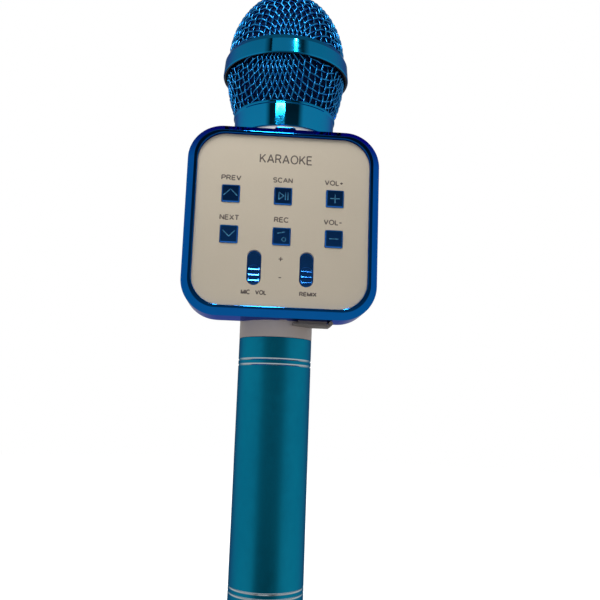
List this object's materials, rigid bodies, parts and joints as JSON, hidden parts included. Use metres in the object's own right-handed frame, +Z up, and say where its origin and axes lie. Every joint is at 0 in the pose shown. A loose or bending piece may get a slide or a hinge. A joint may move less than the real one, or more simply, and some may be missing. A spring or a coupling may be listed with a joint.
{
  "type": "karaoke microphone",
  "caption": "Handheld karaoke microphone: round battery handle, rounded square control box with keys and faders on the front and a speaker behind, and a woven wire ball head.",
  "frame": {"origin": "on the microphone's axis at the flat foot of the end cap", "axes": "+Z up the axis towards the ball head, -Y out of the control panel, +X to the right of someone facing the panel"},
  "size_m": [0.076, 0.0542, 0.2634],
  "materials": {
    "handle_aluminium": "teal anodised, satin",
    "battery_wrap": "shrink wrap over a steel can",
    "spring_steel": "bright",
    "white_plastic": "fine satin",
    "inner_plastic": "dull black",
    "plated_blue": "blue vacuum plating, mirror bright",
    "plated_teal": "teal vacuum plating, mirror bright",
    "panel_sheet": "champagne satin print sheet",
    "key_navy": "dark blue plating with pale printed marks",
    "board": "green solder mask",
    "component_black": "moulded",
    "can_metal": "bright",
    "socket_steel": "tinned",
    "screw_steel": "zinc",
    "speaker_steel": "black passivated",
    "magnet": "plain ferrite and steel",
    "cone_paper": "pressed paper",
    "soft_rubber": "matt",
    "cover_rubber": "white, matt",
    "grille_metal": "blue plated steel wire",
    "foam": "open-cell foam, near black",
    "lead_red": "insulated"
  },
  "bodies": {
    "microphone": {"handle_tube": "handle_aluminium", "battery_cell": "battery_wrap", "battery_carrier": "inner_plastic", "battery_contact": "spring_steel", "battery_leads": "lead_red", "lower_neck": "white_plastic", "upper_neck": "white_plastic", "bezel_frame": "plated_blue", "front_panel": "panel_sheet", "front_housing": "white_plastic", "key_switches": "component_black", "slide_pots": "socket_steel", "main_board": "board", "board_screws": "screw_steel", "board_chips": "component_black", "board_capacitors": "can_metal", "card_socket": "socket_steel", "charging_socket": "socket_steel", "power_switch_body": "socket_steel", "rear_housing": "white_plastic", "case_screws": "screw_steel", "speaker_grille": "plated_blue", "speaker_gasket": "soft_rubber", "speaker_basket": "speaker_steel", "speaker_magnet": "magnet", "speaker_cone": "cone_paper", "speaker_surround": "soft_rubber", "speaker_dust_cap": "cone_paper", "speaker_screws": "screw_steel", "speaker_leads": "lead_red", "capsule_holder": "soft_rubber", "mic_capsule": "can_metal", "capsule_leads": "lead_red"},
    "end_cap": {"end_cap": "handle_aluminium", "end_cap_seal": "soft_rubber", "battery_spring": "spring_steel"},
    "head": {"head_collar": "plated_teal", "grille_lower": "grille_metal", "grille_ring": "plated_teal", "grille_upper": "grille_metal", "foam_windscreen": "foam"},
    "key_previous": {"button_previous": "key_navy"},
    "key_scan": {"button_scan": "key_navy"},
    "key_volume_up": {"button_volume_up": "key_navy"},
    "key_next": {"button_next": "key_navy"},
    "key_record": {"button_record": "key_navy"},
    "key_volume_down": {"button_volume_down": "key_navy"},
    "mic_volume_fader": {"slider_mic_volume": "key_navy"},
    "remix_fader": {"slider_remix": "key_navy"},
    "power_knob": {"power_switch": "component_black"},
    "port_flap": {"port_cover": "cover_rubber"}
  },
  "joints": [
    {"name": "press_previous", "type": "slide", "parent": "microphone", "child": "key_previous", "axis": [0, 1, 0], "range_m": [0, 0.0006], "stiffness_N_per_m": 600, "springref_m": -0.002},
    {"name": "press_scan", "type": "slide", "parent": "microphone", "child": "key_scan", "axis": [0, 1, 0], "range_m": [0, 0.0006], "stiffness_N_per_m": 600, "springref_m": -0.002},
    {"name": "press_volume_up", "type": "slide", "parent": "microphone", "child": "key_volume_up", "axis": [0, 1, 0], "range_m": [0, 0.0006], "stiffness_N_per_m": 600, "springref_m": -0.002},
    {"name": "press_next", "type": "slide", "parent": "microphone", "child": "key_next", "axis": [0, 1, 0], "range_m": [0, 0.0006], "stiffness_N_per_m": 600, "springref_m": -0.002},
    {"name": "press_record", "type": "slide", "parent": "microphone", "child": "key_record", "axis": [0, 1, 0], "range_m": [0, 0.0006], "stiffness_N_per_m": 600, "springref_m": -0.002},
    {"name": "press_volume_down", "type": "slide", "parent": "microphone", "child": "key_volume_down", "axis": [0, 1, 0], "range_m": [0, 0.0006], "stiffness_N_per_m": 600, "springref_m": -0.002},
    {"name": "slide_mic_volume", "type": "slide", "parent": "microphone", "child": "mic_volume_fader", "axis": [0, 0, 1], "range_m": [0, 0.0055]},
    {"name": "slide_remix", "type": "slide", "parent": "microphone", "child": "remix_fader", "axis": [0, 0, 1], "range_m": [0, 0.0055]},
    {"name": "slide_power", "type": "slide", "parent": "microphone", "child": "power_knob", "axis": [0, 0, 1], "range_m": [0, 0.003]},
    {"name": "swing_port_cover", "type": "hinge", "parent": "microphone", "child": "port_flap", "pos_m": [0.0208, -0.01425, 0.1176], "axis": [0, -1, 0], "range_deg": [0, 100]},
    {"name": "unscrew_head", "type": "hinge", "parent": "microphone", "child": "head", "pos_m": [0, 0, 0.2], "axis": [0, 0, 1], "range_deg": [0, 1080]},
    {"name": "unscrew_end_cap", "type": "hinge", "parent": "microphone", "child": "end_cap", "pos_m": [0, 0, 0.005], "axis": [0, 0, -1], "range_deg": [0, 1080]}
  ]
}
